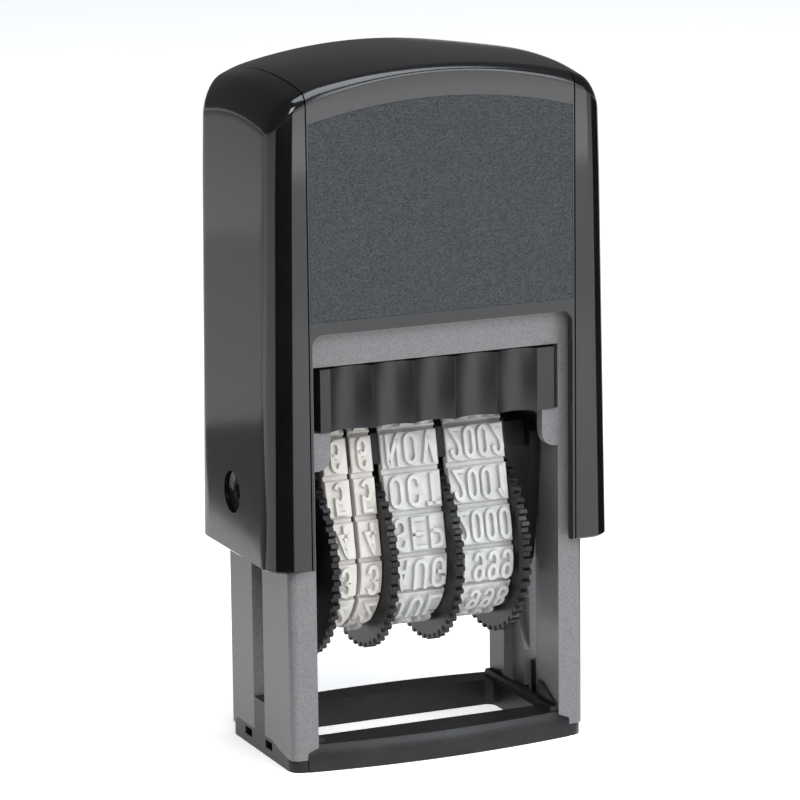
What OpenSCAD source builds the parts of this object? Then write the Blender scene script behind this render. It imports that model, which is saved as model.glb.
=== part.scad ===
// Self-inking rotary date stamp: a portal frame on a print window, a press cap on a return spring,
// and a turning carriage whose four thumb wheels and rubber date bands swing from the ink pad to the paper.
// Millimetres. Origin at the centre of the base, on the surface the stamp stands on.
// +X to the right, +Y to the back, +Z up. The modelled pose is the rest pose, with the cap up.

/* [Cap] */
// Width of the cap at its lower edge
cap_w = 38.2; // [38:0.1:39]
// Depth of the cap, front to back
cap_d = 20.8; // [20.7:0.1:22]
// Height of the cap's lower edge at rest
cap_bottom = 21.6; // [21.4:0.1:22]
// Height of the crown of the domed top, which is the overall height
cap_top = 72.5; // [72.4:0.1:74]
// Thickness of the cap's side walls
cap_wall = 1.2; // [1:0.1:1.25]
// Radius of the domed top
dome_r = 60; // [55:1:70]
// Half width of the cover that makes the front, the top and the rear
cover_half = 14.72; // [14.5:0.01:14.8]
// Height of the lower edge of the cover
panel_bottom = 45.8; // [45.5:0.1:46.2]

/* [Frame] */
// Width of the portal frame
frame_w = 32.9; // [32.7:0.1:33]
// Depth of the portal frame
frame_d = 17.1; // [16.9:0.1:17.2]
// Height of the frame's cross bars
frame_top = 46; // [45.8:0.1:46.3]
// Thickness of the frame's outer walls
frame_wall = 1.2; // [1.1:0.1:1.3]
// Width of the vertical slot in each leg
slot_w = 2.9; // [2.8:0.05:3]

/* [Turning carriage] */
// Distance of the swivel axle behind the middle plane
axle_y = 0.5; // [0.4:0.05:0.55]
// Height of the swivel axle at rest
axle_z = 28; // [27.9:0.1:28.1]
// Distance from the swivel axle to the printing face
print_r = 9.2; // [9.1:0.05:9.25]
// Distance from the swivel axle to the wheel axle
wheel_drop = 7.9; // [7.8:0.05:8]
// Radius of the swivel stub axles
stub_r = 1.3; // [1.25:0.01:1.32]
// Distance from the swivel axle to the guide pins
guide_r = 3.2; // [3:0.1:3.3]
// Radius of the thumb wheels over their teeth
wheel_r = 9.98; // [9.8:0.01:10]
// Number of teeth on each thumb wheel
wheel_teeth = 48; // [40:2:56]
// Radius of the steel wheel axle
pin_r = 1; // [0.9:0.05:1.05]

/* [Date bands] */
// Radius of a band's outer face round its wheel
band_r = 8; // [7.8:0.05:8.1]
// Thickness of a band over its raised cells
band_t = 1.6; // [1.5:0.05:1.65]
// Thickness of the plain belt under the raised cells
belt_t = 0.7; // [0.5:0.05:0.9]
// Number of characters or words round each band
cells = 15; // [15:2:17]
// Width of the groove between two cells
cell_gap = 0.55; // [0.4:0.05:0.8]

/* [Ink pad] */
// Width of the pad cartridge's finger grip
grip_w = 26; // [25.5:0.1:26.2]
// Height of the underside of the cartridge
pad_bottom = 35.4; // [35.4:0.05:35.6]
// Height of the cartridge
pad_h = 6.5; // [6.3:0.1:6.6]
// Number of finger flutes in the grip
flutes = 5; // [4:1:6]

/* [Return spring] */
// Wire diameter
wire_d = 0.7; // [0.5:0.05:0.8]
// Mean coil radius
coil_r = 4.3; // [4.1:0.05:4.4]
// Number of coils
coils = 9; // [7:1:10]

/* [Hidden] */
$fn = 64;
far = 60;
stroke = axle_z - print_r;

// Cap: wall slope, corner radii, and the layers of its top
cap_draft = 0.9;
cap_corner = 2.6;
shoulder_r = 2.7;
shoulder_lift = 0.08;
cover_t = 0.7;
top_t = 1.5;
cover_gap = 0.05;
mouth_half = 14.4;
mouth_corner = 1.2;
boss_r = 2.6;
boss_in = 16.75;
stub_end = 18.3;
bore_play = 0.06;
hole_r = 2.18;
rib_in = 16.56;
rib_t = 0.8;
rib_y = [-5.6, 6.2];
rib_z = [23.5, 62];
post_r = 2.8;
post_end = 63.5;
side_n = [cos(cap_draft), sin(cap_draft)];
arch_z = cap_top - dome_r;
lift_z = arch_z + shoulder_lift;
shoulder_a = asin((cap_w / 2 * side_n.x + (cap_bottom - lift_z) * side_n.y - shoulder_r)
    / (dome_r - shoulder_r)) - cap_draft;
shoulder_c = [0, lift_z] + (dome_r - shoulder_r) * [sin(shoulder_a), cos(shoulder_a)];

// Labels
label_half = 14.5;
label_bottom = 47.05;
label_drop = 3.6;
label_t = 0.25;
label_play = 0.03;

// Frame: leg section, shelf under the pad, pad window, deck and spring cup
leg_in = 13.6;
corner_r = 0.8;
column_front = -3.9;
column_rear = 4.9;
floor_in = 14.6;
web_in = 15.25;
shelf_in = 11.8;
shelf_low = 31.4;
shelf_r = 1.5;
rail_in = 12.7;
rail_low = 34.2;
pad_half = 13.7;
window_top = 42.1;
deck_top = 44;
cup_r = 6.2;
cup_in = 5.2;
cup_top = 50.8;
track_r = 1;
track_steps = 36;

// Base: plate, ears at the sides, bulging bars, print window, tongues in the leg slots
plate_t = 1.3;
plate_corner = 1.4;
ear_t = 2.1;
ear_y = [-7.1, -4.9, -2.9, 6.4, 8.3];
bar_t = 2.8;
bar_half = 14.75;
bar_edge = 8.7;
bar_bulge = 1.2;
bar_break = 1.65;
bar_lean = 0.45;
ramp_in = 12.9;
ramp_t = 3.3;
rib_x = 13.36;
rib_y_z = [[-8.2, 0], [-8.2, 3.5], [-6, 4.5], [-4.9, 5.1], [-4, 5.1], [-3.7, 3.2], [5.5, 3.2], [5.8, 3.6],
    [8.1, 3.2], [8.1, 0]];
bar_r = (bar_half * bar_half + bar_bulge * bar_bulge) / (2 * bar_bulge);
bar_end = [-8.2, 8.1];
window_half = 12.6;
window_y = [-5.4, 5.8];
window_corner = 1;
tongue_in = 15.4;
tongue_top = 5.6;
clip_z = [0.9, 1.75];
clip_depth = 0.7;
clip_y = [[-2.85, -1.05], [2.7, 4.55]];

// Ink pad cartridge: tray, felt pocket and fluted grip
tray_half = 13.4;
tray_y = [-7.1, 8.2];
pocket_half = 11.9;
pocket_y = [-6.3, 6.6];
felt_low = axle_z + print_r + 0.1;
felt_top = 40.3;
grip_front = -8.95;
flute_r = 3.4;
flute_sag = 0.88;
lands = [1.1, 1.9];

// Carriage: side plates, guide pins, the loop that a band follows, wheels
plate_in = 12.2;
plate_out = 13.3;
guide_pin_r = 0.85;
guide_end = 15.15;
socket_r = 0.8;
socket_depth = 0.6;
ridge_half = 2.2;
knee = [5.2, 6];
slack = 0.05;
loop_steps = 56;
platen_low = 2.5;
platen_shelf = 5.2;
fin_rise = 0.75;
fin_x = [[-11.5, -11.15], [-8.35, -8], [-5.55, -4.65], [1.75, 2.65], [9.28, 9.6]];
comb_t = 0.3;
finger_half = 0.8;
bush_r = 2.2;
bush_x = [10.25, 12.15];
tooth_h = 0.5;
hub_r = band_r - band_t - 0.1;
pin_play = 0.05;

// From left to right: the toothed flange, the hub and the band of each wheel, as left and right ends
flange_x = [[-12.05, -11.2], [-5.55, -4.7], [1.75, 2.6], [9.3, 10.2]];
hub_x = [[-11.3, -8.3], [-8.2, -5.45], [-4.65, 1.85], [2.65, 9.4]];
band_x = [[-11.1, -8.4], [-7.95, -5.6], [-4.6, 1.7], [2.7, 9.23]];

// Directions of the outward normals of the loop's shoulder and of its straight side
shoulder_dir = atan2(knee.x - ridge_half, print_r - knee.y);
side_dir = atan2(knee.y + wheel_drop, knee.x) - acos(band_r / norm([knee.x, knee.y + wheel_drop]));
function dir(a) = [cos(a), sin(a)];

// Corner of the loop where two straight runs meet, moved inwards by d on both
function inner(p, a, b, d) = p - d * (dir(a) + dir(b)) / (1 + dir(a) * dir(b));
function ridge_at(d) = inner([ridge_half, print_r], 90, shoulder_dir, d);
function knee_at(d) = inner(knee, shoulder_dir, side_dir, d);
function leave_at(d) = [0, -wheel_drop] + (band_r - d) * dir(side_dir);

// Lengths along the loop from the middle of the ridge to each change of run, and the whole loop
run_1 = ridge_half;
run_2 = run_1 + norm(knee - [ridge_half, print_r]);
run_3 = run_2 + norm(leave_at(0) - knee);
half_loop = run_3 + band_r * (90 + side_dir) * PI / 180;
pitch = 2 * half_loop / cells;

// Point of the loop's outer face at length s from the ridge, and the direction of its normal
function loop_at(s) =
    s < run_1 ? [s, print_r, 90]
    : s < run_2 ? concat([ridge_half, print_r] + (s - run_1) * dir(shoulder_dir - 90), shoulder_dir)
    : s < run_3 ? concat(knee + (s - run_2) * dir(side_dir - 90), side_dir)
    : let (a = side_dir - (s - run_3) / band_r * 180 / PI)
        concat([0, -wheel_drop] + band_r * dir(a), a);

// Middle of the guide pin, in Y and Z, after the carriage has turned by a while the cap goes down
function guide_at(a) = [axle_y + guide_r * sin(a), axle_z - stroke * a / 180 + guide_r * cos(a)];
function guide_normal(a) =
    let (v = [guide_r * cos(a), -stroke / PI - guide_r * sin(a)]) [-v.y, v.x] / norm(v);

// ---- shapes shared by the nodes ----

module block(x, y, z) {
    translate([x[0], y[0], z[0]]) cube([x[1] - x[0], y[1] - y[0], z[1] - z[0]]);
}

// A rod along X between two places, at a height and depth
module rod(r, x, y = axle_y, z = axle_z) {
    translate([x[0], y, z])
        rotate([0, 90, 0])
            cylinder(r = r, h = x[1] - x[0]);
}

// The same shape on the left and on the right
module both_sides() {
    children();
    mirror([1, 0, 0]) children();
}

// The same shape at the front and at the rear
module front_and_rear() {
    children();
    mirror([0, 1, 0]) children();
}

module round_rect(w, d, r) {
    square([w - 2 * r, d], center = true);
    square([w, d - 2 * r], center = true);
    for (x = [-1, 1], y = [-1, 1])
        translate([x * (w / 2 - r), y * (d / 2 - r)]) circle(r = r);
}

// Stands an outline drawn in the carriage's own Y and Z between two places on the X axis
module across(x, y = axle_y, z = axle_z) {
    translate([x[0], y, z])
        rotate([90, 0, 90])
            linear_extrude(x[1] - x[0]) children();
}

// Stands an outline drawn in X and Z between two places on the Y axis
module through(y) {
    translate([0, y[1], 0])
        rotate([90, 0, 0])
            linear_extrude(y[1] - y[0]) children();
}

// ---- cap ----

// Front outline of the cap below its dome: sloping sides and round shoulders, moved inwards by d
module cap_outline(d) {
    q = shoulder_r - d;
    c = shoulder_c;
    t = c + q * side_n;
    low = cap_bottom - (d > 0 ? 1 : 0);
    foot = cap_w / 2 - d / side_n.x - (low - cap_bottom) * tan(cap_draft);
    up = c + far * [sin(shoulder_a), cos(shoulder_a)];
    polygon([[-foot, low], [foot, low], t, c, up, [-up.x, up.y], [-c.x, c.y], [-t.x, t.y]]);
    for (s = [-1, 1])
        translate([s * c.x, c.y]) circle(r = q);
}

// Upright prism with round corners whose right face slopes with the cap's side, moved inwards by d
module sloping_prism(d) {
    w = 2 * cap_w;
    translate([cap_w / 2, 0, cap_bottom])
        rotate([0, -cap_draft, 0])
            translate([-d - w / 2, 0, -3])
                linear_extrude(far + 3) round_rect(w, cap_d - 2 * d, cap_corner - d);
}

// The cap as a solid, moved inwards by d at its walls and by top at its dome
module cap_solid(d, top) {
    intersection() {
        through([-cap_d, cap_d]) cap_outline(d);
        sloping_prism(d);
        mirror([1, 0, 0]) sloping_prism(d);
        translate([0, 0, arch_z]) sphere(r = dome_r - top);
    }
}

// Opening below the cover in the front and rear walls
module mouth() {
    r = mouth_corner;
    h = panel_bottom - cap_bottom + 1;
    translate([0, cap_bottom - 1 + (h - r) / 2]) square([2 * mouth_half, h - r], center = true);
    translate([0, panel_bottom - r]) square([2 * (mouth_half - r), 2 * r], center = true);
    for (s = [-1, 1])
        translate([s * (mouth_half - r), panel_bottom - r]) circle(r = r);
}

// Space taken by the cover, widened all round by play
module cover_zone(play) {
    difference() {
        block([-cover_half - play, cover_half + play], [-cap_d, cap_d], [cap_bottom - 1, cap_top + 1]);
        intersection() {
            block([-far, far], [cap_wall - cap_d / 2 + play, cap_d / 2 - cap_wall - play], [0, 2 * far]);
            translate([0, 0, arch_z]) sphere(r = dome_r - cover_t - play);
        }
    }
}

module label_outline(play) {
    intersection() {
        translate([-label_half + play, label_bottom + play])
            square([2 * (label_half - play), far]);
        translate([0, arch_z]) circle(r = dome_r - label_drop - play, $fn = 180);
    }
}

module label(play) {
    through([-cap_d / 2 - play, label_t - cap_d / 2]) label_outline(play > 0 ? 0 : label_play);
}

module cap_shell() {
    color([0.04, 0.04, 0.045])
        difference() {
            union() {
                difference() {
                    cap_solid(0, 0);
                    cap_solid(cap_wall, top_t);
                }
                both_sides() {
                    rod(boss_r, [boss_in, stub_end]);
                    for (y = rib_y)
                        block([rib_in, stub_end - 0.3], [y - rib_t / 2, y + rib_t / 2], rib_z);
                }
                translate([0, axle_y, post_end]) cylinder(r = post_r, h = cap_top - top_t / 2 - post_end);
            }
            cover_zone(cover_gap);
            both_sides() {
                rod(stub_r + bore_play, [boss_in - 1, far]);
                rod(hole_r, [stub_end, far]);
            }
        }
}

module cap_cover() {
    color([0.05, 0.05, 0.055])
        difference() {
            intersection() {
                cap_solid(0, 0);
                cover_zone(0);
            }
            through([-cap_d, cap_d]) mouth();
            front_and_rear() label(1);
        }
}

module front_label() {
    color([0.17, 0.18, 0.19]) label(0);
}

module rear_label() {
    color([0.17, 0.18, 0.19]) mirror([0, 1, 0]) label(0);
}

// Coil spring: round wire swept along a helix from the deck of the frame to the top of the cap
module return_spring() {
    low = deck_top + wire_d / 2;
    high = cap_top - top_t - 0.35 - wire_d / 2;
    steps = 16;
    sides = 6;
    count = coils * steps;
    ring = [for (i = [0:count], j = [0:sides - 1])
        let (a = i * 360 / steps, b = j * 360 / sides, r = coil_r + wire_d / 2 * cos(b))
        [r * cos(a), r * sin(a) + axle_y, low + (high - low) * i / count + wire_d / 2 * sin(b)]];
    skin = [for (i = [0:count - 1], j = [0:sides - 1])
        let (k = i * sides + j, m = i * sides + (j + 1) % sides)
        [k, m, m + sides, k + sides]];
    ends = [[for (j = [sides - 1:-1:0]) j], [for (j = [0:sides - 1]) count * sides + j]];
    color("silver") polyhedron(ring, concat(skin, ends));
}

// ---- base ----

// Side ear of the base, drawn in Y and Z: a short slope at the rear and a long one at the front
module ear_outline() {
    middle = (plate_t + ear_t) / 2;
    polygon([[ear_y[0], 0], [ear_y[0], plate_t], [ear_y[1], middle - 0.1], [ear_y[2], ear_t],
        [ear_y[3], ear_t], [ear_y[4] - 0.5, middle], [ear_y[4], plate_t], [ear_y[4], 0]]);
}

// Front bar with its bulging outer edge between the two legs, leaning inwards above the break
module bar() {
    intersection() {
        block([-bar_half, bar_half], [-frame_d, window_y[0]], [0, bar_t]);
        translate([0, bar_r - bar_edge - bar_bulge, 0])
            rotate_extrude($fn = 360)
                polygon([[0, 0], [bar_r, 0], [bar_r, bar_break], [bar_r - bar_lean, bar_t], [0, bar_t]]);
    }
}

// Raised block beside the window that meets a leg, drawn in X and Z
module ramp_outline() {
    polygon([[window_half - 0.2, 0], [window_half - 0.2, bar_t - 0.5], [window_half + 0.1, bar_t - 0.1],
        [ramp_in, ramp_t], [leg_in, ramp_t], [leg_in, 0]]);
}

// Everything of the base that can meet a leg
module base_core() {
    linear_extrude(plate_t) round_rect(frame_w, frame_d, plate_corner);
    intersection() {
        linear_extrude(far) round_rect(frame_w, frame_d, plate_corner);
        across([-frame_w / 2, frame_w / 2], 0, 0) ear_outline();
    }
    front_and_rear() bar();
    both_sides()
        block([tongue_in, frame_w / 2], [axle_y - slot_w / 2, axle_y + slot_w / 2], [0, tongue_top]);
}

module base_frame() {
    color([0.08, 0.08, 0.085])
        difference() {
            union() {
                base_core();
                both_sides() {
                    through(bar_end) ramp_outline();
                    across([rib_x, leg_in], 0, 0) polygon(rib_y_z);
                }
            }
            translate([0, (window_y[0] + window_y[1]) / 2, -1])
                linear_extrude(far) round_rect(2 * window_half, window_y[1] - window_y[0], window_corner);
            both_sides()
                for (y = clip_y)
                    block([frame_w / 2 - clip_depth, far], y, clip_z);
        }
}

// ---- frame ----

// Path of the guide pin as a closed outline of constant width, drawn in Y and Z
module guide_track() {
    turn = [for (i = [0:track_steps]) 180 * i / track_steps];
    polygon(concat(
        [for (a = turn) guide_at(a) + track_r * guide_normal(a)],
        [for (i = [track_steps:-1:0]) guide_at(turn[i]) - track_r * guide_normal(turn[i])]
    ));
    for (a = [0, 180])
        translate(guide_at(a)) circle(r = track_r);
}

// Straight slot for the stub axle, open at its lower end, drawn in Y and Z
module axle_slot() {
    top = axle_z + 0.2;
    translate([axle_y - slot_w / 2, 0]) square([slot_w, top]);
    translate([axle_y, top]) circle(r = slot_w / 2);
}

// Shelf under the end of the pad, with a round lower corner, drawn in X and Z
module shelf_outline() {
    c = [shelf_in + shelf_r, shelf_low + shelf_r];
    w = frame_w / 2 - c.x;
    translate(c) circle(r = shelf_r);
    translate([c.x, shelf_low]) square([w, pad_bottom - slack - shelf_low]);
    translate([shelf_in, c.y]) square([w, pad_bottom - slack - c.y]);
}

// Right leg: front and rear columns, outer web, and a floor with the guide track
module leg() {
    edge = frame_w / 2;
    y_all = [-frame_d / 2, frame_d / 2];
    flange = [-frame_d / 2, frame_wall - frame_d / 2];
    difference() {
        union() {
            block([leg_in, edge], [-frame_d / 2, column_front], [0, frame_top]);
            block([leg_in, edge], [column_rear, frame_d / 2], [0, frame_top]);
            block([floor_in, edge], y_all, [bar_t, frame_top]);
            block([web_in, edge], y_all, [0, frame_top]);
            block([pad_half, edge], y_all, [rail_low, frame_top]);
            block([rail_in, edge], y_all, [rail_low, pad_bottom - slack]);
            front_and_rear() through(flange) shelf_outline();
        }
        across([floor_in - 1, far], 0, 0) axle_slot();
        across([floor_in - 1, web_in], 0, 0) guide_track();
    }
}

module frame() {
    color([0.45, 0.46, 0.47])
        difference() {
            union() {
                intersection() {
                    linear_extrude(frame_top) round_rect(frame_w, frame_d, corner_r);
                    union() {
                        both_sides() leg();
                        front_and_rear()
                            block([-far, far], [-frame_d / 2, frame_wall - frame_d / 2],
                                [window_top, frame_top]);
                        block([-far, far], [-frame_d / 2, frame_d / 2], [window_top, deck_top]);
                    }
                }
                translate([0, axle_y, deck_top - 1]) cylinder(r = cup_r, h = cup_top - deck_top + 1);
            }
            translate([0, axle_y, deck_top]) cylinder(r = cup_in, h = far);
            block([-far, far], [-far, far], [-1, plate_t]);
            base_core();
        }
}

// ---- ink pad ----

module pad_holder() {
    step = (grip_w - lands[0] - lands[1]) / flutes;
    z = [pad_bottom, pad_bottom + pad_h];
    color([0.07, 0.07, 0.075])
        difference() {
            union() {
                block([-grip_w / 2, grip_w / 2], [grip_front, tray_y[0] + 1], z);
                block([-tray_half, tray_half], tray_y, z);
            }
            block([-pocket_half, pocket_half], pocket_y, [0, felt_top]);
            block([-pocket_half, pocket_half], [0, far], [0, felt_low]);
            for (i = [0:flutes - 1])
                translate([lands[0] - grip_w / 2 + step * (i + 0.5), grip_front - flute_r + flute_sag, 0])
                    cylinder(r = flute_r, h = far);
        }
}

module ink_pad() {
    color([0.12, 0.12, 0.16])
        block([slack - pocket_half, pocket_half - slack], [pocket_y[0] + slack, pocket_y[1] - slack],
            [felt_low, felt_top]);
}

// ---- turning carriage ----

// Side plate of the carriage, drawn in its own Y and Z
module plate_outline() {
    difference() {
        union() {
            polygon([[-4.6, 4.9], [4.6, 4.9], [5.3, 4.2], [5.3, 1], [4.65, -4.6], [4.1, -wheel_drop],
                [-4.1, -wheel_drop], [-4.65, -4.6], [-5.3, 1], [-5.3, 4.2]]);
            translate([0, -wheel_drop]) circle(r = 4.1);
        }
        translate([0, -wheel_drop]) circle(r = pin_r);
    }
}

// Right side plate, with its stub axle and guide pin
module side_plate() {
    difference() {
        union() {
            across([plate_in, plate_out]) plate_outline();
            rod(stub_r, [plate_out - 0.3, stub_end]);
            rod(guide_pin_r, [plate_out - 0.3, guide_end], axle_y, axle_z + guide_r);
        }
        rod(socket_r, [stub_end - socket_depth, far]);
    }
}

module left_side_plate() {
    color([0.06, 0.06, 0.065]) mirror([1, 0, 0]) side_plate();
}

module right_side_plate() {
    color([0.06, 0.06, 0.065]) side_plate();
}

// Closed outline of a band's loop, moved inwards by d, drawn in the carriage's own Y and Z
function loop_points(d) = concat(
    [ridge_at(d), knee_at(d)],
    [for (i = [0:loop_steps]) let (a = side_dir - i * (180 + 2 * side_dir) / loop_steps)
        [0, -wheel_drop] + (band_r - d) * dir(a)],
    [[-knee_at(d).x, knee_at(d).y], [-ridge_at(d).x, ridge_at(d).y]]
);

// Upper part of a loop between two heights
module loop_top(d, low, high = far) {
    intersection() {
        polygon(loop_points(d));
        translate([-far / 2, low]) square([far, high - low]);
    }
}

module platen() {
    color([0.09, 0.09, 0.095])
        union() {
            across([-plate_in, plate_in]) loop_top(band_t + slack, platen_low, platen_shelf);
            across([fin_x[0][0], fin_x[4][1]]) loop_top(band_t + slack, platen_low);
            for (x = fin_x)
                across(x) loop_top(band_t - fin_rise, platen_low);
        }
}

// Comb of four leaf springs under the platen, one above each wheel's hub
module detent_spring() {
    tip = hub_r - wheel_drop + 0.1;
    top = platen_low;
    color("silver")
        union() {
            across([fin_x[0][0], fin_x[4][1]])
                translate([-2.6, top - comb_t]) square([5.2, comb_t]);
            for (b = band_x)
                across([(b[0] + b[1]) / 2 - finger_half, (b[0] + b[1]) / 2 + finger_half])
                    polygon([[2.6, top], [2.6, top - comb_t], [0.3, tip + 0.15], [0, tip],
                        [-0.3, tip + 0.3], [0.1, tip + 0.5], [2, top - comb_t], [2, top]]);
        }
}

module wheel_axle() {
    color("silver") rod(pin_r, [-plate_out, plate_out], axle_y, axle_z - wheel_drop);
}

module spacer_bush() {
    color([0.09, 0.09, 0.095])
        difference() {
            rod(bush_r, bush_x, axle_y, axle_z - wheel_drop);
            rod(pin_r + pin_play, [bush_x[0] - 1, bush_x[1] + 1], axle_y, axle_z - wheel_drop);
        }
}

// Toothed rim of a thumb wheel, drawn about its own axis
module tooth_ring() {
    step = 360 / wheel_teeth;
    polygon([for (i = [0:wheel_teeth - 1], k = [0:3])
        (wheel_r - (k == 0 || k == 3 ? tooth_h : 0)) * dir(step * (i + [0, 0.14, 0.48, 0.62][k]))]);
}

module thumb_wheel(n) {
    color([0.05, 0.05, 0.055])
        difference() {
            union() {
                across(flange_x[n], axle_y, axle_z - wheel_drop) tooth_ring();
                rod(hub_r, hub_x[n], axle_y, axle_z - wheel_drop);
            }
            rod(pin_r + pin_play, [-far, far], axle_y, axle_z - wheel_drop);
        }
}

module wheel_day_tens() {
    thumb_wheel(0);
}

module wheel_day_units() {
    thumb_wheel(1);
}

module wheel_month() {
    thumb_wheel(2);
}

module wheel_year() {
    thumb_wheel(3);
}

// Rubber band with one raised cell for each character and grooves between the cells
module date_band(n) {
    across(band_x[n])
        difference() {
            polygon(loop_points(0));
            polygon(loop_points(band_t));
            for (i = [0:floor(cells / 2)], m = [-1, 1]) {
                p = loop_at(pitch * (i + 0.5));
                mirror([m < 0 ? 1 : 0, 0])
                    translate([p.x, p.y])
                        rotate(p[2])
                            translate([belt_t - band_t, -cell_gap / 2]) square([band_t, cell_gap]);
            }
        }
}

module band_day_tens() {
    color([0.85, 0.82, 0.76]) date_band(0);
}

module band_day_units() {
    color([0.85, 0.82, 0.76]) date_band(1);
}

module band_month() {
    color([0.84, 0.83, 0.8]) date_band(2);
}

module band_year() {
    color([0.84, 0.83, 0.8]) date_band(3);
}

frame();
base_frame();
cap_shell();
cap_cover();
front_label();
rear_label();
return_spring();
pad_holder();
ink_pad();
left_side_plate();
right_side_plate();
platen();
detent_spring();
wheel_axle();
spacer_bush();
wheel_day_tens();
wheel_day_units();
wheel_month();
wheel_year();
band_day_tens();
band_day_units();
band_month();
band_year();
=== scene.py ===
import math

import bmesh
import bpy
from mathutils import Matrix, Vector


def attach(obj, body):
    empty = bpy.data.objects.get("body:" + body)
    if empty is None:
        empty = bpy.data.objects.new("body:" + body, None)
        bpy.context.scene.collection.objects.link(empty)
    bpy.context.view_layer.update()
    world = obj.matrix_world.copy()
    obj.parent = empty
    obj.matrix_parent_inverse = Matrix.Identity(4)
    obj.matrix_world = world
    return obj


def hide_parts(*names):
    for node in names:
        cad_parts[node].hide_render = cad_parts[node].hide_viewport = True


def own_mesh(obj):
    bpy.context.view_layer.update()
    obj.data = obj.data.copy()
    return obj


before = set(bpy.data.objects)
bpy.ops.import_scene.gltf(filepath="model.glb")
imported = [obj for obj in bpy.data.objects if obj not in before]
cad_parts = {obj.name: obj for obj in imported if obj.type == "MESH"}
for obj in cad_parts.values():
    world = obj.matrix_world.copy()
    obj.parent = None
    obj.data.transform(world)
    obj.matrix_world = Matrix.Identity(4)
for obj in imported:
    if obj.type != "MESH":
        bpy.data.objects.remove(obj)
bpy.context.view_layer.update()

MM = 0.001

# The axle, the wheel axle and the loop that a band follows, in millimetres
AXLE_Y, AXLE_Z = 0.5, 28.0
PRINT_R, WHEEL_DROP = 9.2, 7.9
BAND_R, BAND_T = 8.0, 1.6
RIDGE_HALF, KNEE = 2.2, (5.2, 6.0)
CELLS = 15


# ---------------------------------------------------------------- materials

def material(name, base, rough, spec=0.5, metallic=0.0):
    """A new Principled material and its node tree, with constants set on the shader itself."""
    m = bpy.data.materials.new(name)
    m.use_nodes = True
    nt = m.node_tree
    b = nt.nodes["Principled BSDF"]
    b.inputs["Base Color"].default_value = (*base, 1)
    b.inputs["Roughness"].default_value = rough
    b.inputs["Metallic"].default_value = metallic
    b.inputs["Specular IOR Level"].default_value = spec
    return m, nt, b


def object_coordinates(nt):
    """The material's one coordinate node, made when it is first asked for."""
    c = nt.nodes.get("coords")
    if c is None:
        c = nt.nodes.new("ShaderNodeTexCoord")
        c.name = "coords"
    return c.outputs["Object"]


def noise(nt, scale, detail=2.0, rough=0.5):
    """A noise texture over the object's own coordinates, which are in metres."""
    n = nt.nodes.new("ShaderNodeTexNoise")
    n.inputs["Scale"].default_value = scale
    n.inputs["Detail"].default_value = detail
    n.inputs["Roughness"].default_value = rough
    nt.links.new(object_coordinates(nt), n.inputs["Vector"])
    return n


def ramp(nt, source, stops):
    """A colour ramp over source with (position, colour) stops."""
    r = nt.nodes.new("ShaderNodeValToRGB")
    e = r.color_ramp.elements
    while len(e) < len(stops):
        e.new(0.5)
    for s, (p, c) in zip(e, stops):
        s.position = p
        s.color = (*c, 1)
    nt.links.new(source, r.inputs["Fac"])
    return r.outputs["Color"]


def spread(nt, source, low, high):
    """Maps a 0 to 1 value on to low to high."""
    n = nt.nodes.new("ShaderNodeMapRange")
    n.inputs["To Min"].default_value = low
    n.inputs["To Max"].default_value = high
    nt.links.new(source, n.inputs["Value"])
    return n.outputs["Result"]


def bump(nt, shader, source, strength, distance):
    """Roughens the shader's normal by a source height."""
    b = nt.nodes.new("ShaderNodeBump")
    b.inputs["Strength"].default_value = strength
    b.inputs["Distance"].default_value = distance
    nt.links.new(source, b.inputs["Height"])
    nt.links.new(b.outputs["Normal"], shader.inputs["Normal"])


def moulded(name, dark, light, rough, grain=2600.0, depth=0.00003, spec=0.5, blotch=140.0,
            rough_spread=0.06):
    """Moulded plastic: slight blotches of colour, fine surface grain and uneven sheen."""
    m, nt, b = material(name, dark, rough, spec)
    n = noise(nt, blotch, 3.0)
    nt.links.new(ramp(nt, n.outputs["Fac"], [(0.35, dark), (0.68, light)]), b.inputs["Base Color"])
    g = noise(nt, grain, 2.0)
    sheen = spread(nt, g.outputs["Fac"], rough - rough_spread, rough + rough_spread)
    nt.links.new(sheen, b.inputs["Roughness"])
    bump(nt, b, g.outputs["Fac"], 0.35, depth)
    return m


M = {}
M["cap"] = moulded("gloss_black", (0.003, 0.003, 0.0033), (0.005, 0.005, 0.0055), 0.09, grain=900,
                   depth=0.000004, rough_spread=0.02, blotch=60)
M["cover"] = moulded("gloss_black_cover", (0.0055, 0.0055, 0.006), (0.009, 0.009, 0.0095), 0.17, grain=900,
                     depth=0.000004, rough_spread=0.03, blotch=60)
M["frame"] = moulded("satin_grey", (0.105, 0.103, 0.106), (0.155, 0.151, 0.155), 0.42, grain=5200,
                     depth=0.00003, blotch=6500)
M["base"] = moulded("matte_black", (0.006, 0.006, 0.0065), (0.011, 0.0115, 0.012), 0.36, grain=3400,
                    depth=0.00007, blotch=300, spec=0.28)
M["carriage"] = moulded("satin_black", (0.003, 0.003, 0.0033), (0.006, 0.006, 0.0065), 0.42, grain=2600,
                        depth=0.00002, spec=0.22)
M["wheel"] = moulded("wheel_black", (0.003, 0.003, 0.0033), (0.007, 0.007, 0.0075), 0.34, grain=2800,
                     depth=0.00002, blotch=400, spec=0.3)
M["grip"] = moulded("grip_black", (0.006, 0.006, 0.0065), (0.012, 0.0125, 0.013), 0.4, grain=2600,
                    depth=0.00002, spec=0.45)


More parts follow.
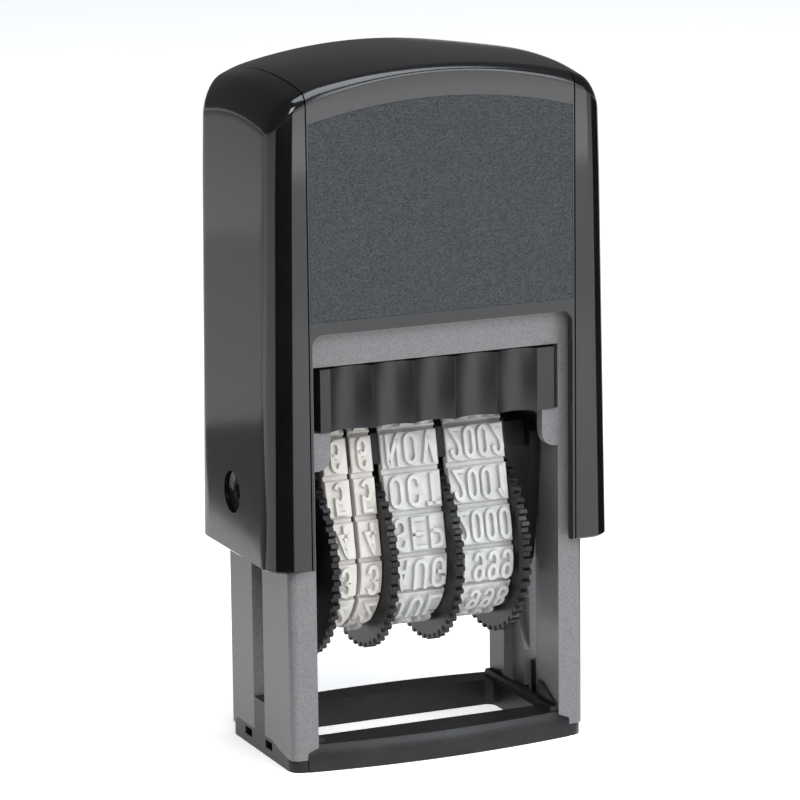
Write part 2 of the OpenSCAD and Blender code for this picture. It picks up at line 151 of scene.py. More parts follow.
def textured_label():
    """Embossed leather-like inlay: small raised grains between pits, with painted shade darkening the pits.
    """
    m, nt, b = material("label_grain", (0.02, 0.02, 0.022), 0.5, 0.4)
    cells_per_metre = 5200.0
    v = nt.nodes.new("ShaderNodeTexVoronoi")
    v.inputs["Scale"].default_value = cells_per_metre
    nt.links.new(object_coordinates(nt), v.inputs["Vector"])
    n = noise(nt, cells_per_metre, 2.0)
    mix = nt.nodes.new("ShaderNodeMath")
    mix.operation = "MULTIPLY"
    nt.links.new(v.outputs["Distance"], mix.inputs[0])
    nt.links.new(n.outputs["Fac"], mix.inputs[1])
    # The pit colour is painted shade: the same pattern that sinks the pits darkens them
    shaded_pit, grain = (0.003, 0.0035, 0.0045), (0.032, 0.035, 0.038)
    nt.links.new(ramp(nt, mix.outputs[0], [(0.06, shaded_pit), (0.24, grain)]), b.inputs["Base Color"])
    bump(nt, b, mix.outputs[0], 1.0, 0.00025)
    return m


M["label"] = textured_label()


def rubber(name, low, high):
    """Date band rubber: warm off-white with faint dirt and a soft sheen."""
    m, nt, b = material(name, low, 0.5, 0.4)
    n = noise(nt, 420.0, 4.0, 0.6)
    nt.links.new(ramp(nt, n.outputs["Fac"], [(0.3, low), (0.7, high)]), b.inputs["Base Color"])
    g = noise(nt, 1800.0, 2.0)
    nt.links.new(spread(nt, g.outputs["Fac"], 0.42, 0.6), b.inputs["Roughness"])
    bump(nt, b, g.outputs["Fac"], 0.25, 0.00003)
    b.inputs["Subsurface Weight"].default_value = 0.08
    b.inputs["Subsurface Radius"].default_value = (0.0006, 0.0005, 0.0004)
    return m


M["band_days"] = rubber("rubber_days", (0.455, 0.432, 0.4), (0.564, 0.541, 0.51))
M["band"] = rubber("rubber_white", (0.382, 0.382, 0.378), (0.51, 0.51, 0.5))


def steel(name):
    """Drawn steel with an uneven polish."""
    m, nt, b = material(name, (0.55, 0.55, 0.56), 0.3, 0.5, metallic=1.0)
    n = noise(nt, 900.0, 3.0)
    nt.links.new(ramp(nt, n.outputs["Fac"], [(0.3, (0.42, 0.42, 0.43)), (0.7, (0.62, 0.62, 0.63))]),
                 b.inputs["Base Color"])
    nt.links.new(spread(nt, n.outputs["Fac"], 0.22, 0.4), b.inputs["Roughness"])
    return m


M["steel"] = steel("bright_steel")


def felt():
    """Fibrous felt, dark with ink."""
    m, nt, b = material("inked_felt", (0.012, 0.012, 0.03), 0.85, 0.3)
    n = noise(nt, 2600.0, 5.0, 0.7)
    nt.links.new(ramp(nt, n.outputs["Fac"], [(0.3, (0.006, 0.006, 0.014)), (0.7, (0.03, 0.03, 0.05))]),
                 b.inputs["Base Color"])
    bump(nt, b, n.outputs["Fac"], 0.8, 0.0002)
    return m


M["felt"] = felt()


def floor_material():
    """A matt white floor with a little light of its own."""
    m, nt, b = material("pale_floor", (0.9, 0.9, 0.9), 0.6, 0.2)
    n = noise(nt, 40.0, 3.0)
    nt.links.new(ramp(nt, n.outputs["Fac"], [(0.3, (0.93, 0.93, 0.93)), (0.7, (0.95, 0.95, 0.95))]),
                 b.inputs["Base Color"])
    b.inputs["Emission Color"].default_value = (1, 1, 1, 1)
    b.inputs["Emission Strength"].default_value = 0.5
    return m


# ---------------------------------------------------------------- mesh helpers

def piece(name, verts, faces, mat, smooth=35.0):
    """A new mesh object from vertices in millimetres, smooth up to an angle between faces."""
    me = bpy.data.meshes.new(name)
    me.from_pydata([tuple(c * MM for c in v) for v in verts], [], faces)
    me.validate()
    me.materials.append(mat)
    me.shade_smooth()
    me.set_sharp_from_angle(angle=math.radians(smooth))
    o = bpy.data.objects.new(name, me)
    bpy.context.scene.collection.objects.link(o)
    return o


def outward(o):
    """Makes all normals of a closed mesh point outwards."""
    bm = bmesh.new()
    bm.from_mesh(o.data)
    bmesh.ops.remove_doubles(bm, verts=bm.verts, dist=0.0000005)
    bmesh.ops.recalc_face_normals(bm, faces=bm.faces)
    bm.to_mesh(o.data)
    bm.free()
    return o


def carve(o, tool, operation="DIFFERENCE"):
    """Applies a boolean with a tool object, which is then removed."""
    m = o.modifiers.new("cut", "BOOLEAN")
    m.operation = operation
    m.object = tool
    m.solver = "EXACT"
    bpy.context.view_layer.update()
    done = bpy.data.meshes.new_from_object(o.evaluated_get(bpy.context.evaluated_depsgraph_get()))
    o.modifiers.clear()
    o.data = done
    bpy.data.objects.remove(tool)
    return o


def prism(outline, low, high, axis):
    """A closed prism over an outline, along X (outline in Y, Z) or along Y (outline in X, Z)."""
    put = (lambda p, t: (t, p[0], p[1])) if axis == "X" else (lambda p, t: (p[0], t, p[1]))
    n = len(outline)
    verts = [put(p, low) for p in outline] + [put(p, high) for p in outline]
    faces = [tuple(range(n)), tuple(range(2 * n - 1, n - 1, -1))]
    faces += [(i, (i + 1) % n, n + (i + 1) % n, n + i) for i in range(n)]
    return outward(piece("tool", verts, faces, M["cap"]))


def rectangle(x0, x1, y0, y1):
    """Corners of a rectangle in the plane of an outline."""
    return [(x0, y0), (x1, y0), (x1, y1), (x0, y1)]


def circle(y, z, r, n=64):
    """Points of a circle in Y and Z."""
    return [(y + r * math.cos(2 * math.pi * i / n), z + r * math.sin(2 * math.pi * i / n)) for i in range(n)]


# ---------------------------------------------------------------- cap

CAP_LOW, CAP_HALF_W, CAP_HALF_D = 21.6, 19.1, 10.4
CAP_DRAFT, CAP_CORNER, CAP_WALL, TOP_WALL = 0.0157, 2.6, 1.1, 1.4
CREST = 72.5

# The cushion top: twice its radius from side to side, its fall towards the front, the rear and past
# the seams, and its extra fall at the outer shoulders
CROWN_ROUND, FALL_FRONT, FALL_REAR, FALL_SIDE = 167.4, 0.0047, 0.0026, 0.0102
SEAM_AT, SHOULDER_AT, SHOULDER_FALL = 14.75, 13.0, 0.036

# The fillet round the top: inwards and down on the long edges, in the middle and added at the seams,
# then inwards and down on the short edges
EDGE_IN, EDGE_DOWN, EDGE_DOWN_FRONT, EDGE_DOWN_REAR = 1.2, 0.7, 0.5, 0.9
SIDE_IN, SIDE_DOWN, FILLET_LEAST, FILLET_STEPS = 2.2, 3.1, 0.3, 12
FOOT_BEVEL, FILLET_AT = 0.2, 70
WALL_HEIGHTS = [30, 40, 50, 60]
TOP_RINGS = (0.93, 0.86, 0.75, 0.6, 0.45, 0.3, 0.15, 0.0)


def crown(x, y):
    """Height of the cushion-shaped top."""
    side = min(1.3, abs(x) / SEAM_AT)
    middle = FALL_FRONT if y < 0 else FALL_REAR
    outer = max(0.0, abs(x) - SHOULDER_AT)
    fall = y * y * (middle + (FALL_SIDE - middle) * side * side)
    return CREST - x * x / CROWN_ROUND - fall - SHOULDER_FALL * outer * outer


def contour(half_w, half_d, r, per_corner=14, along_x=36, along_y=18):
    """Points and outward normals of a rectangle with round corners, anticlockwise from the front right."""
    out = []
    corners = [(half_w - r, -half_d + r, -90), (half_w - r, half_d - r, 0), (-half_w + r, half_d - r, 90),
               (-half_w + r, -half_d + r, 180)]
    for k, (cx, cy, a0) in enumerate(corners):
        for i in range(per_corner + 1):
            a = math.radians(a0 + 90 * i / per_corner)
            out.append((cx + r * math.cos(a), cy + r * math.sin(a), math.cos(a), math.sin(a)))
        nx, ny, a1 = corners[(k + 1) % 4]
        end = (nx + r * math.cos(math.radians(a1)), ny + r * math.sin(math.radians(a1)))
        start = out[-1]
        count = along_y if k % 2 == 0 else along_x
        for i in range(1, count):
            f = i / count
            x, y = start[0] + (end[0] - start[0]) * f, start[1] + (end[1] - start[1]) * f
            out.append((x, y, start[2], start[3]))
    return out


def cap_body(inset, low, drop):
    """Closed solid of the cap's outer shape moved inwards, with fillets round its cushion top."""
    rows = []
    r = CAP_CORNER - inset
    heights = [low] + ([low + FOOT_BEVEL] if inset == 0 else []) + WALL_HEIGHTS
    for z in heights:
        w = CAP_HALF_W - inset - (z - CAP_LOW) * CAP_DRAFT
        shrink = FOOT_BEVEL if inset == 0 and z == low else 0
        rows.append([(x - nx * shrink, y - ny * shrink, z)
                     for x, y, nx, ny in contour(w, CAP_HALF_D - inset, r)])
    top_w = CAP_HALF_W - inset - (FILLET_AT - CAP_LOW) * CAP_DRAFT
    top = contour(top_w, CAP_HALF_D - inset, r)
    for i in range(FILLET_STEPS + 1):
        a = math.radians(90 * i / FILLET_STEPS)
        row = []
        for x, y, nx, ny in top:
            side = min(1.0, abs(x) / SEAM_AT)
            edge = EDGE_DOWN + (EDGE_DOWN_FRONT if y < 0 else EDGE_DOWN_REAR) * side * side
            across = max(FILLET_LEAST, EDGE_IN * ny * ny + SIDE_IN * nx * nx - inset)
            down = max(FILLET_LEAST, edge * ny * ny + SIDE_DOWN * nx * nx - inset)
            px, py = x - nx * across * (1 - math.cos(a)), y - ny * across * (1 - math.cos(a))
            row.append((px, py, crown(px, py) - drop - down * (1 - math.sin(a))))
        rows.append(row)
    rim = rows[-1]
    spine = top_w - CAP_HALF_D
    for f in TOP_RINGS:
        row = []
        for x, y, z in rim:
            sx = max(-spine, min(spine, x))
            px, py = sx + (x - sx) * f, y * f
            row.append((px, py, crown(px, py) - drop))
        rows.append(row)
    n = len(rim)
    verts = [p for row in rows for p in row]
    faces = [tuple(range(n - 1, -1, -1))]
    for k in range(len(rows) - 1):
        p, q = k * n, (k + 1) * n
        faces += [(p + i, p + (i + 1) % n, q + (i + 1) % n, q + i) for i in range(n)]
    return outward(piece("cap_form", verts, faces, M["cap"]))


COVER_HALF, SEAM = 14.66, 14.8
MOUTH_HALF, MOUTH_TOP, MOUTH_R = 14.4, 45.8, 1.2
HOLE_R, INNER_TOP = 2.18, 0.75

# The recess for the inlay: its outline's half width, foot and crest, twice the radius of its upper
# edge, and the distances from the middle plane of its floor and of the tool's outer end
LABEL_HALF, LABEL_LOW, LABEL_HIGH, LABEL_ROUND = 14.5, 47.05, 68.9, 112
RECESS = (10.15, 11)

# Where cutting tools end, past every surface of the cap
PAST_FRONT, PAST_SIDE, PAST_TOP, PAST_FOOT, BELOW = 20, 25, 90, 10, 2
CAP_SMOOTH = math.radians(32)


def mouth(steps=10):
    """Outline of the opening below the cover, with round upper corners."""
    angles = [math.radians(90 * i / steps) for i in range(steps + 1)]
    arc = [(MOUTH_HALF - MOUTH_R + MOUTH_R * math.cos(a), MOUTH_TOP - MOUTH_R + MOUTH_R * math.sin(a))
           for a in angles]
    foot = [(-MOUTH_HALF, PAST_FOOT), (MOUTH_HALF, PAST_FOOT)]
    return foot + arc + [(-x, z) for x, z in reversed(arc)]


def finish_cap(o, name, mat, *nodes):
    """Names a piece of the cap, gives it its material and lets it ride and stand for CAD nodes."""
    o.name = name
    o.data.materials.clear()
    o.data.materials.append(mat)
    o.data.shade_smooth()
    o.data.set_sharp_from_angle(angle=CAP_SMOOTH)
    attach(o, "cap")
    if nodes:
        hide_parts(*nodes)


def label_outline(steps=40):
    """Outline of the recess for the inlay, with an upper edge that follows the top."""
    xs = [LABEL_HALF * (1 - i / (steps / 2)) for i in range(steps + 1)]
    arch = [(x, LABEL_HIGH - x * x / LABEL_ROUND) for x in xs]
    return [(LABEL_HALF, LABEL_LOW)] + arch + [(-LABEL_HALF, LABEL_LOW)]


def middle_slab(half):
    """A block that takes in all of the cap within a distance of its middle plane."""
    return prism(rectangle(-half, half, 0, PAST_TOP), -PAST_FRONT, PAST_FRONT, "Y")


shell = carve(cap_body(0, CAP_LOW, 0), cap_body(CAP_WALL, CAP_LOW - BELOW, TOP_WALL))
cover = bpy.data.objects.new("cover", shell.data.copy())
bpy.context.scene.collection.objects.link(cover)
carve(cover, middle_slab(COVER_HALF), "INTERSECT")
carve(cover, prism(mouth(), -PAST_FRONT, PAST_FRONT, "Y"))
for ends in ((-RECESS[1], -RECESS[0]), RECESS):
    carve(cover, prism(label_outline(), *ends, "Y"))
finish_cap(cover, "cover", M["cover"], "cap_cover")

carve(shell, middle_slab(SEAM))
carve(shell, prism(circle(AXLE_Y, AXLE_Z, HOLE_R), -PAST_SIDE, PAST_SIDE, "X"))
finish_cap(shell, "cap_sides", M["cap"])

# The CAD shell keeps the bosses, ribs and post; its outer skin gives way to the sides and the cover
inside = bpy.data.objects.new("cap_inside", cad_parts["cap_shell"].data.copy())
bpy.context.scene.collection.objects.link(inside)
carve(inside, cap_body(CAP_WALL / 2, CAP_LOW - BELOW, INNER_TOP), "INTERSECT")
finish_cap(inside, "cap_inside", M["cap"], "cap_shell")

# ---------------------------------------------------------------- date bands

# The front rows stand a little wider apart than the rest
PITCH_FRONT, FRONT_ROWS = 4.37, 7
BAND_X = {"day_tens": (-11.1, -8.4), "day_units": (-7.95, -5.6), "month": (-4.6, 1.7), "year": (2.7, 9.23)}

# Directions of the normals of the loop's two straight runs, and its lengths from the ridge to each turn
TURN_DIR = math.atan2(KNEE[0] - RIDGE_HALF, PRINT_R - KNEE[1])
KNEE_AWAY = math.hypot(KNEE[0], KNEE[1] + WHEEL_DROP)
SIDE_DIR = math.atan2(KNEE[1] + WHEEL_DROP, KNEE[0]) - math.acos(BAND_R / KNEE_AWAY)
RUN_1 = RIDGE_HALF
RUN_2 = RUN_1 + math.hypot(KNEE[0] - RIDGE_HALF, KNEE[1] - PRINT_R)
LEAVE = (BAND_R * math.cos(SIDE_DIR), BAND_R * math.sin(SIDE_DIR) - WHEEL_DROP)
RUN_3 = RUN_2 + math.hypot(KNEE[0] - LEAVE[0], KNEE[1] - LEAVE[1])
HALF_LOOP = RUN_3 + BAND_R * (math.pi / 2 + SIDE_DIR)


def on_loop(t):
    """Place and outward direction on the loop, at length t from the ridge towards the front and down."""
    t = (t + HALF_LOOP) % (2 * HALF_LOOP) - HALF_LOOP
    s = abs(t)
    if s < RUN_1:
        y, z, a = s, PRINT_R, math.pi / 2
    elif s < RUN_2:
        a = TURN_DIR
        y, z = RIDGE_HALF + (s - RUN_1) * math.sin(a), PRINT_R - (s - RUN_1) * math.cos(a)
    elif s < RUN_3:
        a = SIDE_DIR
        y, z = KNEE[0] + (s - RUN_2) * math.sin(a), KNEE[1] - (s - RUN_2) * math.cos(a)
    else:
        a = SIDE_DIR - (s - RUN_3) / BAND_R
        y, z = BAND_R * math.cos(a), BAND_R * math.sin(a) - WHEEL_DROP
    front = -1 if t >= 0 else 1
    return front * y, z, front * math.cos(a), math.sin(a)


def smooth_loop(t, reach=0.7, each_way=3):
    """The same, with the loop's corners eased over a short reach."""
    parts = [on_loop(t + reach * k / each_way) for k in range(-each_way, each_way + 1)]
    y, z, ny, nz = (sum(p[i] for p in parts) / len(parts) for i in range(4))
    size = math.hypot(ny, nz)
    return y, z, ny / size, nz / size


def at(x, t, h):
    """Point of a band at X, at length t along the loop and h above its printing face."""
    y, z, ny, nz = smooth_loop(t)
    return x, AXLE_Y + y + ny * h, AXLE_Z + z + nz * h


def row_middle(k):
    """Length along the loop of the middle of a row."""
    rest = (2 * HALF_LOOP - FRONT_ROWS * PITCH_FRONT) / (CELLS - FRONT_ROWS)
    return k * PITCH_FRONT if k <= FRONT_ROWS else FRONT_ROWS * PITCH_FRONT + (k - FRONT_ROWS) * rest


def oval(x0, x1, y0, y1, a0, a1, n=20):
    """Part of the oval that fills a box, from one angle to another in degrees."""
    cx, cy, rx, ry = (x0 + x1) / 2, (y0 + y1) / 2, (x1 - x0) / 2, (y1 - y0) / 2
    angles = [math.radians(a0 + (a1 - a0) * i / n) for i in range(n + 1)]
    return [(cx + rx * math.cos(a), cy + ry * math.sin(a)) for a in angles]


def tall_ring(bend=0.26):
    """A closed ring with straight sides, for the zero and the O."""
    upper = oval(0, 1, 1 - 2 * bend, 1, 0, 180, 10)
    lower = oval(0, 1, 0, 2 * bend, 180, 360, 10)
    return upper + lower + [upper[0]]


C_SHAPE = [(1, 0.72)] + oval(0, 1, 0.5, 1, 20, 180, 10) + oval(0, 1, 0, 0.5, 180, 340, 10) + [(1, 0.28)]
B_LINE = [(0.55, 0.54), (0, 0.54), (0, 0), (0.6, 0), (0.9, 0.06), (1, 0.2), (1, 0.38), (0.85, 0.52),
          (0.55, 0.54), (0.85, 0.6), (0.92, 0.76), (0.85, 0.94), (0.55, 1), (0, 1), (0, 0.54)]
D_LINE = [(0, 0), (0, 1), (0.55, 1), (0.88, 0.9), (1, 0.7), (1, 0.3), (0.88, 0.1), (0.55, 0), (0, 0)]
P_BOWL = [(0, 0), (0, 1), (0.55, 1), (0.85, 0.95), (1, 0.82), (1, 0.64), (0.85, 0.5), (0.55, 0.46), (0, 0.46)]
SIX = [(0.95, 0.82)] + oval(0, 1, 0.5, 1, 50, 180, 8) + oval(0, 1, 0, 0.52, 180, 500, 20)

# Each character as strokes in a square of side 1
STROKES = {
    "0": [tall_ring()],
    "1": [[(0.25, 0.8), (0.55, 1), (0.55, 0)]],
    "2": [[(0, 0.76)] + oval(0, 1, 0.5, 1, 165, -10, 10) + [(0.86, 0.5), (0, 0), (1, 0)]],
    "3": [oval(0, 1, 0.5, 1, 160, -70, 12) + oval(0, 1, 0, 0.52, 75, -160, 12)],
    "4": [[(0.72, 0), (0.72, 1), (0, 0.3), (1, 0.3)]],
    "5": [[(0.9, 1), (0.12, 1), (0.06, 0.54)] + oval(0, 1, 0, 0.62, 110, -135, 16)],
    "6": [SIX],
    "7": [[(0, 1), (1, 1), (0.4, 0)]],
    "8": [oval(0.06, 0.94, 0.52, 1, -90, 270), oval(0, 1, 0, 0.52, 90, 450)],
    "9": [[(1 - x, 1 - y) for x, y in SIX]],
    "A": [[(0, 0), (0.5, 1), (1, 0)], [(0.18, 0.33), (0.82, 0.33)]],
    "B": [B_LINE],
    "C": [C_SHAPE],
    "D": [D_LINE],
    "E": [[(1, 1), (0, 1), (0, 0), (1, 0)], [(0, 0.52), (0.85, 0.52)]],
    "F": [[(1, 1), (0, 1), (0, 0)], [(0, 0.52), (0.85, 0.52)]],
    "G": [C_SHAPE + [(1, 0.46), (0.55, 0.46)]],
    "J": [[(0.9, 1)] + oval(0, 0.9, 0, 0.5, 0, -160, 12)],
    "L": [[(0, 1), (0, 0), (1, 0)]],
    "M": [[(0, 0), (0, 1), (0.5, 0.3), (1, 1), (1, 0)]],
    "N": [[(0, 0), (0, 1), (1, 0), (1, 1)]],
    "O": [tall_ring()],
    "P": [P_BOWL],
    "R": [P_BOWL, [(0.55, 0.46), (1, 0)]],
    "S": [[(1, 0.78)] + oval(0, 1, 0.5, 1, 20, 235, 12) + oval(0, 1, 0, 0.52, 60, -160, 14)],
    "T": [[(0, 1), (1, 1)], [(0.5, 1), (0.5, 0)]],
    "U": [[(0, 1)] + oval(0, 1, 0, 0.5, 180, 360, 12) + [(1, 1)]],
    "V": [[(0, 1), (0.5, 0), (1, 1)]],
    "Y": [[(0, 1), (0.5, 0.45), (1, 1)], [(0.5, 0.45), (0.5, 0)]],
}
DIGITS = list("8765432109") + [""] * 5
ROWS = {
    "day_tens": DIGITS,
    "day_units": DIGITS,
    "month": ["JAN", "DEC", "NOV", "OCT", "SEP", "AUG", "JUL", "JUN", "MAY", "APR", "MAR", "FEB", "", "", ""],
    "year": [str(2004 - k) for k in range(CELLS)],
}

# Heights are measured from the printing face; widths of one character and steps between two
GLYPH_TALL, STROKE, BLOCK_TOP, BELT_TOP = 3.4, 0.46, -0.5, -1.0
GLYPH_WIDE = {"day_tens": (1.35, 0), "day_units": (1.35, 0), "month": (1.6, 2.0), "year": (1.36, 1.58)}

# The groove between two blocks, and the bevels along a block's edges and sides
CELL_GAP, FLANK, BEVEL, SOFT = 0.5, 0.04, 0.14, 0.1
BLOCK_STEPS = 12

# A stroke's half widths at its foot and its face as shares of its width, its overrun at a free end,
# its sink into the block and its longest mitre
FOOT, FACE, OVERRUN, SINK, MITRE = 0.6, 0.42, 0.4, 0.05, 1.6


def finely(points, step=0.3):
    """The same polyline with no run longer than a step."""
    out = [points[0]]
    for p, q in zip(points, points[1:]):
        n = max(1, math.ceil(math.dist(p, q) / step))
        out += [(p[0] + (q[0] - p[0]) * i / n, p[1] + (q[1] - p[1]) * i / n) for i in range(1, n + 1)]
    return out


def stroke(points, place, verts, faces):
    """Adds a raised stroke with sloping flanks along a polyline.

    place turns a character's coordinates and a height into a point.
    """
    closed = math.dist(points[0], points[-1]) < 1e-6
    if not closed:
        for end, towards in ((0, 1), (-1, -2)):
            (x, y), (u, v) = points[end], points[towards]
            d = math.dist((x, y), (u, v))
            points[end] = (x + (x - u) / d * STROKE * OVERRUN, y + (y - v) / d * STROKE * OVERRUN)
    p = finely(points)
    n = len(p)
    base = len(verts)
    for i in range(n):
        a = p[i - 1] if i else (p[-2] if closed else p[0])
        c = p[i + 1] if i < n - 1 else (p[1] if closed else p[-1])
        d1 = (p[i][0] - a[0], p[i][1] - a[1])
        d2 = (c[0] - p[i][0], c[1] - p[i][1])
        l1, l2 = math.hypot(*d1), math.hypot(*d2)
        d1 = (d1[0] / l1, d1[1] / l1) if l1 > 1e-9 else (d2[0] / l2, d2[1] / l2)
        d2 = (d2[0] / l2, d2[1] / l2) if l2 > 1e-9 else d1
        m = (-(d1[1] + d2[1]), d1[0] + d2[0])
        size = math.hypot(*m)
        m = (m[0] / size, m[1] / size) if size > 0.3 else (-d1[1], d1[0])
        grow = min(MITRE, 1 / max(0.3, -m[0] * d1[1] + m[1] * d1[0]))
        for w, h in ((FOOT, BLOCK_TOP - SINK), (FACE, 0.0), (-FACE, 0.0), (-FOOT, BLOCK_TOP - SINK)):
            k = w * STROKE * grow
            verts.append(place(p[i][0] + m[0] * k, p[i][1] + m[1] * k, h))
    for i in range(n - 1):
        for j in range(3):
            q = base + i * 4 + j
            faces.append((q, q + 1, q + 5, q + 4))
    if not closed:
        faces.append((base, base + 3, base + 2, base + 1))
        e = base + (n - 1) * 4
        faces.append((e, e + 1, e + 2, e + 3))


def block_marks(k):
    """Steps along one block and its grooves: length, height, and whether the sides are bevelled there."""
    mid = row_middle(k)
    before = (mid - row_middle(k - 1)) / 2 if k else (2 * HALF_LOOP - row_middle(CELLS - 1)) / 2
    after = ((row_middle(k + 1) if k < CELLS - 1 else 2 * HALF_LOOP) - mid) / 2
    a, b = mid - before + CELL_GAP / 2, mid + after - CELL_GAP / 2
    run = b - a - 2 * BEVEL
    rise = [(a - CELL_GAP / 2, BELT_TOP, 0), (a, BELT_TOP, 0), (a + FLANK, BLOCK_TOP - SOFT, 0),
            (a + BEVEL, BLOCK_TOP, 1)]
    top = [(a + BEVEL + run * i / BLOCK_STEPS, BLOCK_TOP, 1) for i in range(1, BLOCK_STEPS)]
    return rise + top + [(b - BEVEL, BLOCK_TOP, 1), (b - FLANK, BLOCK_TOP - SOFT, 0), (b, BELT_TOP, 0)]


def characters(name, k, verts, faces):
    """Adds the raised characters of one block, side by side."""
    x0, x1 = BAND_X[name]
    text, mid = ROWS[name][k], row_middle(k)
    wide, step = GLYPH_WIDE[name]
    w, tall = wide - STROKE, GLYPH_TALL - STROKE
    for i, letter in enumerate(text):
        cx = (x0 + x1) / 2 + (i - (len(text) - 1) / 2) * step

        def place(u, v, h, cx=cx):
            return at(cx + u, mid + v, h)

        for line in STROKES[letter]:
            stroke([((u - 0.5) * w, (v - 0.5) * tall) for u, v in line], place, verts, faces)


def date_band(name):
    """Belt with raised blocks, each carrying its characters, and a plain inner face."""
    x0, x1 = BAND_X[name]
    verts, faces, marks = [], [], []
    for k in range(CELLS):
        marks += block_marks(k)
        characters(name, k, verts, faces)
    base, n = len(verts), len(marks)
    for t, h, bevelled in marks:
        soft = SOFT if bevelled else 0.0
        verts += [at(x0, t, -BAND_T), at(x0, t, h - soft), at(x0 + SOFT, t, h), at(x1 - SOFT, t, h),
                  at(x1, t, h - soft), at(x1, t, -BAND_T)]
    for i in range(n):
        p, q = base + i * 6, base + ((i + 1) % n) * 6
        faces += [(p + j, p + (j + 1) % 6, q + (j + 1) % 6, q + j) for j in range(6)]
    mat = M["band_days"] if "day" in name else M["band"]
    o = piece("dates_" + name, verts, faces, mat, smooth=30)
    bm = bmesh.new()
    bm.from_mesh(o.data)
    bmesh.ops.recalc_face_normals(bm, faces=bm.faces)
    bm.to_mesh(o.data)
    bm.free()
    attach(o, "carriage")
    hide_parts("band_" + name)


for w in BAND_X:
    date_band(w)

# ---------------------------------------------------------------- return spring

SPRING_LOW, SPRING_HIGH, SPRING_R, WIRE_R = 44.0, 70.3, 4.3, 0.35

# How far the end coils close up, and the share of its length that the spring keeps when pressed
END_CLOSE, PRESSED = 0.07, 0.27


def return_spring(turns=9, steps=48, sides=10):
    """Round wire with closed end coils, standing on the frame's deck under the top of the cap."""
    verts, faces = [], []
    count = turns * steps
    for i in range(count + 1):
        f = i / count
        lift = f - END_CLOSE * math.sin(2 * math.pi * f)
        z = SPRING_LOW + WIRE_R + (SPRING_HIGH - SPRING_LOW - 2 * WIRE_R) * lift
        a = 2 * math.pi * i / steps
        for j in range(sides):
            b = 2 * math.pi * j / sides
            r = SPRING_R + WIRE_R * math.cos(b)
            verts.append((r * math.cos(a), AXLE_Y + r * math.sin(a), z + WIRE_R * math.sin(b)))
    for i in range(count):
        p, q = i * sides, (i + 1) * sides
        faces += [(p + j, p + (j + 1) % sides, q + (j + 1) % sides, q + j) for j in range(sides)]
    faces += [tuple(range(sides - 1, -1, -1)), tuple(count * sides + j for j in range(sides))]
    o = outward(piece("spring_wire", verts, faces, M["steel"], smooth=60))
    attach(o, "frame")
    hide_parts("return_spring")
    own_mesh(o)


return_spring()

# ---------------------------------------------------------------- carried-over CAD nodes

EDGE_ANGLE = math.radians(35)


def dress(name, mat, bevel=0.0):
    """Gives a CAD node its material and, where asked, a softened edge."""
    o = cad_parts[name]
    o.data.materials.clear()
    o.data.materials.append(mat)
    if bevel:
        w = o.modifiers.new("weld", "WELD")
        w.merge_threshold = 0.000002
        b = o.modifiers.new("edges", "BEVEL")
        b.width = bevel * MM
        b.segments = 2
        b.limit_method = "ANGLE"
        b.angle_limit = EDGE_ANGLE
        b.harden_normals = False
        b.use_clamp_overlap = True


dress("frame", M["frame"], 0.12)
dress("base_frame", M["base"], 0.12)
dress("front_label", M["label"])
dress("rear_label", M["label"])
dress("pad_holder", M["grip"], 0.12)
dress("ink_pad", M["felt"])
for side in ("left", "right"):
    dress(side + "_side_plate", M["carriage"], 0.1)
dress("platen", M["carriage"], 0.06)
dress("detent_spring", M["steel"])
dress("wheel_axle", M["steel"])
dress("spacer_bush", M["carriage"], 0.1)
for w in BAND_X:
    dress("wheel_" + w, M["wheel"], 0.05)

# ---------------------------------------------------------------- floor, lights and camera

FLOOR_HALF = 3


def flat_sheet(name, corners, z, mat):
    """A level sheet of the studio, with its corners and height in metres."""
    me = bpy.data.meshes.new(name)
    me.from_pydata([(x, y, z) for x, y in corners], [], [(0, 1, 2, 3)])
    me.materials.append(mat)
    o = bpy.data.objects.new(name, me)
    bpy.context.scene.collection.objects.link(o)
    return o


flat_sheet("floor", rectangle(-FLOOR_HALF, FLOOR_HALF, -FLOOR_HALF, FLOOR_HALF), 0, floor_material())

world = bpy.data.worlds.new("studio")
bpy.context.scene.world = world
world.use_nodes = True
world.node_tree.nodes["Background"].inputs["Color"].default_value = (1, 1, 1, 1)
world.node_tree.nodes["Background"].inputs["Strength"].default_value = 0.13


def area_light(name, place, target, size, power, colour=(1, 1, 1)):
    """A rectangular soft box at place, aimed at target, in metres and watts."""
    d = bpy.data.lights.new(name, "AREA")
    d.shape = "RECTANGLE"
    d.size, d.size_y = size
    d.energy = power
    d.color = colour
    o = bpy.data.objects.new(name, d)
    o.location = place
    o.rotation_mode = "QUATERNION"
    o.rotation_quaternion = (Vector(target) - Vector(place)).to_track_quat("-Z", "Y")
    bpy.context.scene.collection.objects.link(o)


def card(name, corners, z, grey):
    """A studio flag just above the floor, seen only in reflections."""
    m, nt, b = material(name, (grey, grey, grey), 0.9, 0.0)
    n = noise(nt, 60.0)
    shades = [(0.3, (grey,) * 3), (0.7, (grey * 1.04,) * 3)]
    nt.links.new(ramp(nt, n.outputs["Fac"], shades), b.inputs["Base Color"])
    o = flat_sheet(name, corners, z, m)
    o.visible_camera = o.visible_diffuse = o.visible_shadow = False


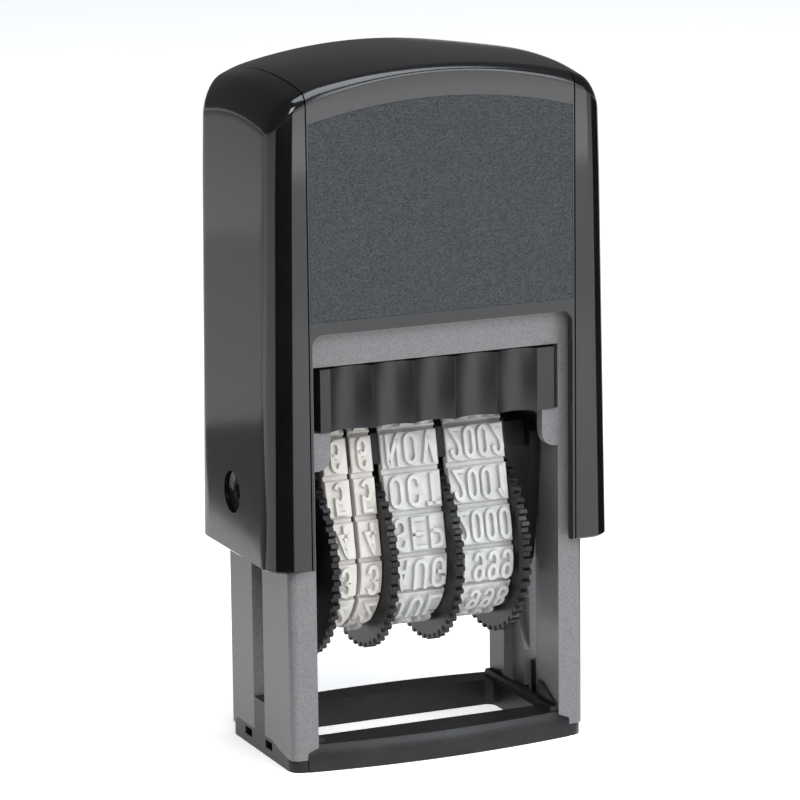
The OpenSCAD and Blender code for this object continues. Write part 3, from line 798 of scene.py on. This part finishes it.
area_light("overhead", (0.1, -0.16, 0.85), (0, 0, 0), (0.6, 0.6), 6.5, (0.88, 0.94, 1.0))
area_light("key", (-0.23, -0.61, 0.42), (0, 0, 0.035), (0.3, 0.3), 2.5, (1.0, 0.98, 0.96))
area_light("edge", (0.29, -0.56, 0.4), (0, 0, 0.05), (0.34, 0.3), 2.0, (0.88, 0.94, 1.0))
area_light("front_right", (0.09, -0.22, 0.085), (0, 0, 0.055), (0.2, 0.12), 0.14)

# What the gloss cap reflects: a black flag to its front left, grey ones along its left side out to
# the far left, and a black one to its right
card("camera_flag", [(-0.08, -0.03), (-1.3, -0.425), (0.03, -0.9), (0.0, -0.08)], 0.0005, 0.002)
card("left_flag", [(-0.12, 0.05), (-0.052, 0.05), (-0.062, 0.15), (-0.12, 0.15)], 0.0006, 0.22)
card("side_flag", [(-0.062, 0.15), (-0.07, 0.3), (-0.3, 0.3), (-0.12, 0.15)], 0.0006, 0.68)
card("far_flag", [(-0.07, 0.3), (-0.1, 1.2), (-0.9, 1.2), (-0.3, 0.3)], 0.0006, 0.95)
card("right_flag", [(0.06, -0.03), (0.9, -0.35), (0.9, 0.5), (0.08, 0.04)], 0.0006, 0.02)
bpy.context.scene.view_settings.view_transform = "Standard"

# The camera: its place in millimetres, its turn in degrees, and its focal length in widths of the picture
CAMERA_AT = Vector((-178.97, -407.33, 134.44))
YAW, PITCH, ROLL = math.radians(23.677), math.radians(12.50), math.radians(-0.666)
FOCAL_WIDTHS, SENSOR = 5.509375, 36.0

cam_data = bpy.data.cameras.new("camera")
cam = bpy.data.objects.new("camera", cam_data)
bpy.context.scene.collection.objects.link(cam)
bpy.context.scene.camera = cam
ahead = Vector((math.sin(YAW) * math.cos(PITCH), math.cos(YAW) * math.cos(PITCH), -math.sin(PITCH)))
level_right = Vector((math.cos(YAW), -math.sin(YAW), 0))
level_up = level_right.cross(ahead)
cam_right = math.cos(ROLL) * level_right + math.sin(ROLL) * level_up
cam_up = -math.sin(ROLL) * level_right + math.cos(ROLL) * level_up
turn = Matrix((cam_right, cam_up, -ahead)).transposed().to_4x4()
cam.matrix_world = Matrix.Translation(CAMERA_AT * MM) @ turn
cam_data.sensor_width = SENSOR
cam_data.lens = FOCAL_WIDTHS * SENSOR
cam_data.clip_start, cam_data.clip_end = 0.01, 10.0
